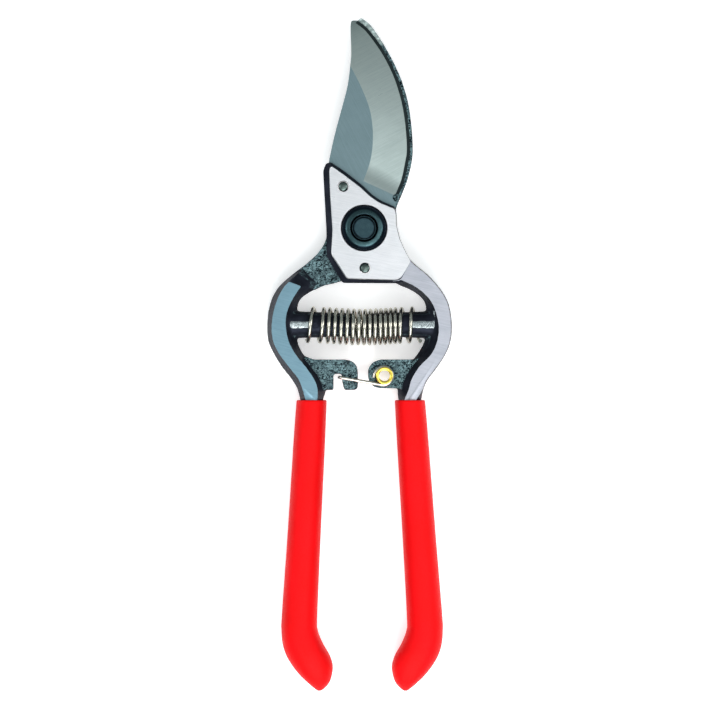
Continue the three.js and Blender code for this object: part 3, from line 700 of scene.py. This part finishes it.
# ---- material nodes: lengths in millimetres, places in the piece's own axes ----


class Shader:
    """A material under construction on one Principled shader."""

    def __init__(self, name):
        self.material = bpy.data.materials.new(name)
        self.material.use_nodes = True
        self.tree = self.material.node_tree
        self.surface = self.tree.nodes["Principled BSDF"]
        texture = self.add("ShaderNodeTexCoord")
        self.place = texture.outputs["Object"]
        self.facing = texture.outputs["Normal"]

    def fill(self, socket, value):
        """Links a socket, or sets its constant."""
        if isinstance(value, bpy.types.NodeSocket):
            self.tree.links.new(value, socket)
        elif socket.type == "RGBA":
            socket.default_value = (*value, 1)
        else:
            socket.default_value = value

    def add(self, kind, settings=(), **inputs):
        """A new node; an input's name is written with _ for each space."""
        node = self.tree.nodes.new(kind)
        for key, value in dict(settings).items():
            setattr(node, key, value)
        for key, value in inputs.items():
            self.fill(node.inputs[key.replace("_", " ")], value)
        return node

    def part(self, vector, axis):
        return self.add("ShaderNodeSeparateXYZ", Vector=vector).outputs[axis]

    def stretched(self, size, turn=0.0):
        """Places divided by a grain size in each axis, turned about Z by an angle in degrees."""
        spun = self.add("ShaderNodeMapping", Vector=self.place, Rotation=(0, 0, math.radians(turn)))
        scale = tuple(1 / (s * MM) for s in size)
        return self.add("ShaderNodeMapping", Vector=spun.outputs[0], Scale=scale).outputs[0]

    def grain(self, size, detail=3.0, turn=0.0, distortion=0.0, roughness=0.5):
        """Noise with grains of a size in millimetres."""
        vector = self.stretched(size, turn)
        node = self.add("ShaderNodeTexNoise", Vector=vector, Scale=1.0, Detail=detail,
                        Roughness=roughness, Distortion=distortion)
        return node.outputs["Fac"]

    def cells(self, size):
        return self.add("ShaderNodeTexVoronoi", Vector=self.stretched(size), Scale=1.0).outputs["Distance"]

    def between(self, value, low, high, start=0.0, end=1.0):
        """A value's way from low to high, as start to end."""
        node = self.add("ShaderNodeMapRange", Value=value, From_Min=low, From_Max=high,
                        To_Min=start, To_Max=end)
        return node.outputs[0]

    def calc(self, operation, a, b=0.0):
        node = self.add("ShaderNodeMath", {"operation": operation})
        self.fill(node.inputs[0], a)
        self.fill(node.inputs[1], b)
        return node.outputs[0]

    def blend(self, factor, a, b):
        return self.add("ShaderNodeMix", {"data_type": "FLOAT"}, Factor=factor, A=a, B=b).outputs[0]

    def tint(self, factor, a, b):
        node = self.add("ShaderNodeMix", {"data_type": "RGBA"})
        self.fill(node.inputs[0], factor)
        self.fill(node.inputs[6], a)
        self.fill(node.inputs[7], b)
        return node.outputs[2]

    def raised(self, height, depth, strength=1.0):
        """A normal from a height of 0 to 1 that stands for a depth in millimetres."""
        return self.add("ShaderNodeBump", Height=height, Distance=depth * MM, Strength=strength).outputs[0]

    def finish(self, **inputs):
        for key, value in inputs.items():
            self.fill(self.surface.inputs[key.replace("_", " ")], value)
        return self.material


# ---- materials ----

POLISHED_Y = 63.4                   # the hook is polished from here to its tip
LACQUER_SHINE = 0.25                # gloss of the black lacquer, given as metal so that it stays dark edge-on
SPRING_SHADE_LEFT = -17.9                   # the pegs' crowns show worn bare steel only beyond the spring; under it they stay black as painted shade
SPRING_SHADE_RIGHT = 15.2
SPRING_SHADE_FADE = 0.3
CREST_FACING = (0.8, 0.86)          # an arm's crown is ground where it faces up this much
RIM_DEPTH = (0.34, 0.26)            # the plate's ground face starts this far under its top
SCALE_DEPTH = 0.5                   # relief of the rough webs and lugs
SCALE_ON_WALLS = 0.12               # share of that relief on lacquered walls
PLATE_PALE = (0.8, 0.8, 0.82)
PLATE_DEEP = (0.6, 0.61, 0.63)
ROUGH_DARK = (0.003, 0.006, 0.01)
ROUGH_PALE = (0.19, 0.3, 0.32)
ROUGH_BLOTCH = (0.035, 0.055, 0.065)
TIP_STEEL = (0.3, 0.37, 0.36)
LACQUER_DEEP = (0.011, 0.013, 0.019)
LACQUER_PALE = (0.022, 0.025, 0.036)
WORN_STEEL = (0.4, 0.45, 0.46)


def brushed_look(shader, turn, pale, deep):
    """Colour, roughness and height of a face ground on a belt, its scratches running at an angle."""
    fine = shader.grain((6, 0.09, 4), 2, turn)
    coarse = shader.grain((14, 0.35, 8), 3, turn, 0.4)
    patch = shader.grain((7, 5, 7), 3)
    scratch = shader.calc("ADD", shader.calc("MULTIPLY", fine, 0.6), shader.calc("MULTIPLY", coarse, 0.4))
    tone = shader.calc("ADD", shader.calc("MULTIPLY", scratch, 0.7), shader.calc("MULTIPLY", patch, 0.3))
    colour = shader.tint(shader.between(tone, 0.36, 0.64), deep, pale)
    roughness = shader.between(tone, 0.3, 0.7, 0.42, 0.26)
    return colour, roughness, scratch


def forged_finish(name, pale, deep):
    """Lacquered black walls, dull rough webs and lugs, and bright ground bands and plate on top."""
    shader = Shader(name)
    height = shader.part(shader.place, 2)
    facing = shader.part(shader.facing, 2)
    low = shader.between(height, (JAW_TOP + 2.4) * MM, (JAW_TOP + 1.9) * MM)
    upright = shader.calc("MULTIPLY", shader.between(facing, 0.55, 0.9), low)
    high = shader.between(height, (ARM_TOP - 0.2) * MM, (ARM_TOP - 0.12) * MM)
    crest = shader.calc("MULTIPLY", shader.between(facing, *CREST_FACING), high)
    rim = shader.between(height, *((PLATE_TOP - depth) * MM for depth in RIM_DEPTH))
    ground = shader.calc("MAXIMUM", crest, rim)
    steel, steel_rough, scratch = brushed_look(shader, 14, pale, deep)
    plate_steel, _, _ = brushed_look(shader, 12, PLATE_PALE, PLATE_DEEP)
    steel = shader.tint(rim, steel, plate_steel)
    scale = shader.grain((0.8, 0.8, 0.8), 4, distortion=1.4, roughness=0.6)
    blotch = shader.grain((4, 4, 4), 4)
    rough_colour = shader.tint(shader.between(scale, 0.43, 0.56), ROUGH_DARK, ROUGH_PALE)
    rough_colour = shader.tint(shader.between(blotch, 0.5, 0.8), rough_colour, ROUGH_BLOTCH)
    along = shader.part(shader.place, 1)
    tip = shader.between(along, (POLISHED_Y - 1.5) * MM, POLISHED_Y * MM)
    rough_colour = shader.tint(tip, rough_colour, TIP_STEEL)
    gloss_colour = shader.tint(shader.between(blotch, 0.35, 0.7), LACQUER_DEEP, LACQUER_PALE)
    across = shader.part(shader.place, 0)
    # painted shade: the crowns under the spring are left black, where the spring shades them
    clear_of_shade_left = shader.between(across, SPRING_SHADE_LEFT * MM, (SPRING_SHADE_LEFT - SPRING_SHADE_FADE) * MM)
    clear_of_shade_right = shader.between(across, SPRING_SHADE_RIGHT * MM, (SPRING_SHADE_RIGHT + SPRING_SHADE_FADE) * MM)
    clear_of_spring_shade = shader.calc("MAXIMUM", clear_of_shade_left, clear_of_shade_right)
    crown = shader.calc("MULTIPLY", shader.between(facing, 0.965, 0.985),
                        shader.between(height, (JAW_TOP + 2.6) * MM, (JAW_TOP + 2.8) * MM))
    crown = shader.calc("MULTIPLY", crown, clear_of_spring_shade)
    worn = shader.calc("MULTIPLY", crown, shader.between(scale, 0.35, 0.5, 0.25, 1.0))
    gloss_colour = shader.tint(worn, gloss_colour, WORN_STEEL)
    dark = shader.tint(upright, gloss_colour, rough_colour)
    dark_rough = shader.blend(upright, shader.between(scale, 0.3, 0.7, 0.14, 0.26),
                              shader.between(scale, 0.3, 0.7, 0.5, 0.3))
    bare = shader.calc("ADD", shader.calc("MULTIPLY", upright, 0.6), worn)
    bare = shader.calc("MAXIMUM", bare, LACQUER_SHINE)
    scale_height = shader.calc("MULTIPLY", scale, shader.blend(tip, 1.0, 0.1))
    wall_height = shader.calc("MULTIPLY", scale, SCALE_ON_WALLS)
    bumps = shader.raised(shader.blend(upright, wall_height, scale_height), SCALE_DEPTH)
    lines = shader.raised(scratch, 0.012, 0.6)
    relief = shader.add("ShaderNodeMix", {"data_type": "VECTOR"})
    shader.fill(relief.inputs[0], ground)
    shader.fill(relief.inputs[4], bumps)
    shader.fill(relief.inputs[5], lines)
    return shader.finish(
        Base_Color=shader.tint(ground, dark, steel),
        Metallic=shader.blend(ground, bare, 1.0),
        Roughness=shader.blend(ground, dark_rough, steel_rough),
        Normal=relief.outputs[1],
        Specular_IOR_Level=0.0,
    )


FLAT_FACING = (0.9975, 0.9992)      # the blade's flat from its shallow grind, by how they face up
FLAT_PALE = (0.185, 0.262, 0.285)
FLAT_DEEP = (0.14, 0.205, 0.222)
GRIND_PALE = (0.3, 0.355, 0.345)
GRIND_DEEP = (0.24, 0.29, 0.28)
# painted shade: the fine bevel and the sides, which tip away from up, are painted near-black
EDGE_PAINTED_SHADE = (0.03, 0.042, 0.044)


def blade_finish():
    """A grey flat and a paler grind, scratched at different angles, and a dark band of painted shade at the
    fine bevel and on the steep sides.
    """
    shader = Shader("satin_blade")
    facing = shader.part(shader.facing, 2)
    flat = shader.between(facing, *FLAT_FACING)
    colour, roughness, scratch = brushed_look(shader, 62, FLAT_PALE, FLAT_DEEP)
    bright, bright_rough, bright_scratch = brushed_look(shader, -28, GRIND_PALE, GRIND_DEEP)
    steel = shader.tint(flat, bright, colour)
    return shader.finish(
        # painted shade on every face that tips away from up
        Base_Color=shader.tint(shader.between(facing, 0.92, 0.97), EDGE_PAINTED_SHADE, steel),
        Metallic=1.0,
        Roughness=shader.blend(flat, bright_rough, shader.calc("ADD", roughness, 0.08)),
        Normal=shader.raised(shader.blend(flat, bright_scratch, scratch), 0.004, 0.35),
    )


# painted shade: the near-black given to the sloping faces of turned pieces, for the dark they reflect
SLOPE_SHADE = (0.008, 0.014, 0.022)


def turned_look(shader, centre, ring_width):
    """Fine rings about an upright axis, as a lathe leaves them."""
    shifted = shader.add("ShaderNodeVectorMath", {"operation": "SUBTRACT"})
    shader.fill(shifted.inputs[0], shader.place)
    shader.fill(shifted.inputs[1], (centre[0] * MM, centre[1] * MM, 0))
    flat = shader.add("ShaderNodeVectorMath", {"operation": "MULTIPLY"})
    shader.fill(flat.inputs[0], shifted.outputs[0])
    shader.fill(flat.inputs[1], (1, 1, 0))
    radius = shader.add("ShaderNodeVectorMath", {"operation": "LENGTH"})
    shader.fill(radius.inputs[0], flat.outputs[0])
    distance = shader.calc("MULTIPLY", radius.outputs["Value"], 1 / (ring_width * MM))
    rings = shader.add("ShaderNodeTexNoise", {"noise_dimensions": "1D"}, W=distance, Scale=1.0, Detail=3.0)
    return rings.outputs["Fac"]


def steel_finish(name, pale, deep, rough, centre=(0, 0), ring_width=0.12, shade_painted_slopes=False):
    """Turned steel; where the flag is set, its chamfers and other sloping faces are painted near-black as
    shade.
    """
    shader = Shader(name)
    rings = turned_look(shader, centre, ring_width)
    wear = shader.grain((1.6, 1.6, 1.6), 5)
    tone = shader.calc("ADD", shader.calc("MULTIPLY", rings, 0.55), shader.calc("MULTIPLY", wear, 0.45))
    colour = shader.tint(shader.between(tone, 0.36, 0.64), deep, pale)
    if shade_painted_slopes:
        colour = shader.tint(shader.between(shader.part(shader.facing, 2), 0.8, 0.97), SLOPE_SHADE, colour)
    return shader.finish(
        Base_Color=colour,
        Metallic=1.0,
        Roughness=shader.between(wear, 0.3, 0.7, rough + 0.08, rough - 0.06),
        Normal=shader.raised(rings, 0.012, 0.5),
    )


def wire_finish(name, pale, deep, rough):
    """Bright metal with the small marks of drawing and handling."""
    shader = Shader(name)
    draw_marks = shader.grain((0.5, 0.5, 0.5), 6, roughness=0.7)
    wear = shader.grain((3, 3, 3), 3)
    tone = shader.calc("ADD", shader.calc("MULTIPLY", draw_marks, 0.5), shader.calc("MULTIPLY", wear, 0.5))
    return shader.finish(
        Base_Color=shader.tint(shader.between(tone, 0.38, 0.62), deep, pale),
        Metallic=1.0,
        Roughness=shader.between(wear, 0.3, 0.7, rough + 0.08, rough - 0.04),
        Normal=shader.raised(draw_marks, 0.02, 0.4),
    )


VINYL_DEEP = (0.68, 0.0, 0.001)
VINYL_PALE = (0.76, 0.0005, 0.003)


def vinyl_finish():
    """Dipped vinyl: deep red, a little uneven, with a fine orange-peel skin and a soft sheen."""
    shader = Shader("red_vinyl")
    peel = shader.grain((0.55, 0.55, 0.55), 3)
    pores = shader.cells((0.9, 0.9, 0.9))
    cloud = shader.grain((9, 16, 9), 4)
    colour = shader.tint(shader.between(cloud, 0.35, 0.68), VINYL_DEEP, VINYL_PALE)
    skin = shader.calc("ADD", shader.calc("MULTIPLY", peel, 0.7), shader.calc("MULTIPLY", pores, 0.3))
    return shader.finish(
        Base_Color=colour,
        Roughness=shader.between(peel, 0.3, 0.7, 0.66, 0.5),
        Normal=shader.raised(skin, 0.1, 0.7),
        Specular_IOR_Level=0.12,
    )


FLOOR_GLOW = 0.42                   # keeps the shadows as pale as the photograph's


def floor_finish():
    shader = Shader("pale_floor")
    cloud = shader.grain((60, 60, 60), 2)
    return shader.finish(
        Base_Color=shader.tint(cloud, (0.88, 0.88, 0.88), (0.9, 0.9, 0.9)),
        Roughness=0.8,
        Specular_IOR_Level=0.1,
        Emission_Color=(1, 1, 1),
        Emission_Strength=FLOOR_GLOW,
    )


# ---- assembly ----


def place(obj, body, node, slot, material):
    """Gives a piece its finish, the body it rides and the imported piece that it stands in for."""
    obj.data.materials.clear()
    obj.data.materials.append(material)
    if body:
        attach(obj, body)
    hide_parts(node)


def build_forgings():
    hook_look = forged_finish("forging_hook", (0.23, 0.38, 0.46), (0.15, 0.26, 0.32))
    blade_look = forged_finish("forging_blade", (0.48, 0.49, 0.54), (0.34, 0.355, 0.4))
    place(hook_forging(), "hook_half", "hook_handle", "forged_steel", hook_look)
    place(blade_forging(), "blade_half", "blade_handle", "ground_steel", blade_look)
    place(cutting_blade(), "blade_half", "blade", "blade_steel", blade_finish())


def build_fasteners():
    for pin, centre in PIN_PLACES.items():
        pin_look = steel_finish(pin + "_steel", (0.14, 0.18, 0.165), (0.05, 0.075, 0.07), 0.3, centre, 0.3,
                                shade_painted_slopes=True)
        place(blade_rivet(pin + "_rivet", pin), "blade_half", pin, "dark_steel", pin_look)
    bolt_look = steel_finish("bolt_steel", (0.045, 0.085, 0.1), (0.02, 0.042, 0.052), 0.4, ring_width=0.25,
                             shade_painted_slopes=True)
    place(bolt(), "hook_half", "pivot_bolt", "dark_steel", bolt_look)
    nut_look = steel_finish("nut_steel", (0.055, 0.105, 0.115), (0.025, 0.052, 0.058), 0.28, shade_painted_slopes=True)
    place(nut(), "hook_half", "pivot_nut", "dark_steel", nut_look)
    washer_look = steel_finish("washer_steel", (0.2, 0.22, 0.23), (0.06, 0.07, 0.075), 0.36)
    place(lock_washer(), "hook_half", "pivot_washer", "spring_steel", washer_look)


def build_spring():
    """The spring rides neither half, as the real one stretches and bends between the two pegs; here it stays
    as built.
    """
    spring = coil_spring()
    spring_look = wire_finish("spring_wire", (0.6, 0.58, 0.5), (0.4, 0.39, 0.34), 0.2)
    place(spring, None, "return_spring", "spring_steel", spring_look)
    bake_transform(spring)


def build_latch():
    bail_look = wire_finish("bail_wire", (0.7, 0.67, 0.6), (0.5, 0.47, 0.41), 0.26)
    place(wire_bail(), "latch", "latch_bail", "spring_steel", bail_look)
    eyelet_look = wire_finish("eyelet_brass", (0.9, 0.74, 0.14), (0.7, 0.5, 0.08), 0.24)
    place(eyelet(), "blade_half", "latch_eyelet", "brass", eyelet_look)


def build_grips():
    vinyl = vinyl_finish()
    for name, body in (("left_grip", "hook_half"), ("right_grip", "blade_half")):
        place(grip(name), body, name, "grip_vinyl", vinyl)


# ---- floor, light and camera ----

VIEW_CENTRE = (-1.4, -44.7)
VIEW_WIDTH = 244.8                  # what the picture's width shows, at the height of the tool's middle
CAMERA_HEIGHT = 1800.0
SENSOR = 36.0
FLOOR_Z = -0.05
FLOOR_HALF = 2500
FLOOR_STEPS = 40


def build_floor():
    points = np.linspace(-FLOOR_HALF, FLOOR_HALF, FLOOR_STEPS + 1)
    vertices = [(x, y, FLOOR_Z) for y in points for x in points]
    row = FLOOR_STEPS + 1
    corners = [r * row + c for r in range(FLOOR_STEPS) for c in range(FLOOR_STEPS)]
    faces = [(k, k + 1, k + 1 + row, k + row) for k in corners]
    floor = new_mesh("floor", vertices, faces)
    floor.data.materials.append(floor_finish())


def soft_light(name, position, size, power):
    """A rectangular light that faces the tool."""
    data = bpy.data.lights.new(name, "AREA")
    data.shape = "RECTANGLE"
    data.size, data.size_y = size[0] * MM, size[1] * MM
    data.energy = power
    light = bpy.data.objects.new(name, data)
    bpy.context.scene.collection.objects.link(light)
    light.location = Vector(position) * MM
    aim = Vector((VIEW_CENTRE[0], VIEW_CENTRE[1], 0)) * MM
    light.rotation_euler = (aim - light.location).to_track_quat("-Z", "Y").to_euler()


def build_lights():
    world = bpy.data.worlds.new("studio")
    bpy.context.scene.world = world
    world.use_nodes = True
    background = world.node_tree.nodes["Background"]
    background.inputs["Color"].default_value = (0.76, 0.88, 0.92, 1)
    background.inputs["Strength"].default_value = 0.4
    soft_light("overhead", (220, -170, 900), (560, 500), 1.5)
    soft_light("key", (60, -660, 700), (700, 760), 8.5)
    soft_light("left", (-560, 60, 620), (300, 500), 1.8)
    soft_light("right", (600, 60, 620), (300, 500), 2)


def build_camera():
    """Straight over the tool, as the photograph is taken, and far enough that tall pieces don't lean."""
    data = bpy.data.cameras.new("camera")
    data.sensor_width = SENSOR
    data.lens = SENSOR * CAMERA_HEIGHT / VIEW_WIDTH
    data.clip_end = 50
    camera = bpy.data.objects.new("camera", data)
    bpy.context.scene.collection.objects.link(camera)
    camera.location = Vector((*VIEW_CENTRE, CAMERA_HEIGHT + MID_Z)) * MM
    bpy.context.scene.camera = camera


def set_colours():
    """Plain colours, as the photograph's: no film-like curve over them."""
    view = bpy.context.scene.view_settings
    view.view_transform = "Standard"
    view.look = "None"


set_colours()
build_forgings()
build_fasteners()
build_spring()
build_latch()
build_grips()
build_floor()
build_lights()
build_camera()
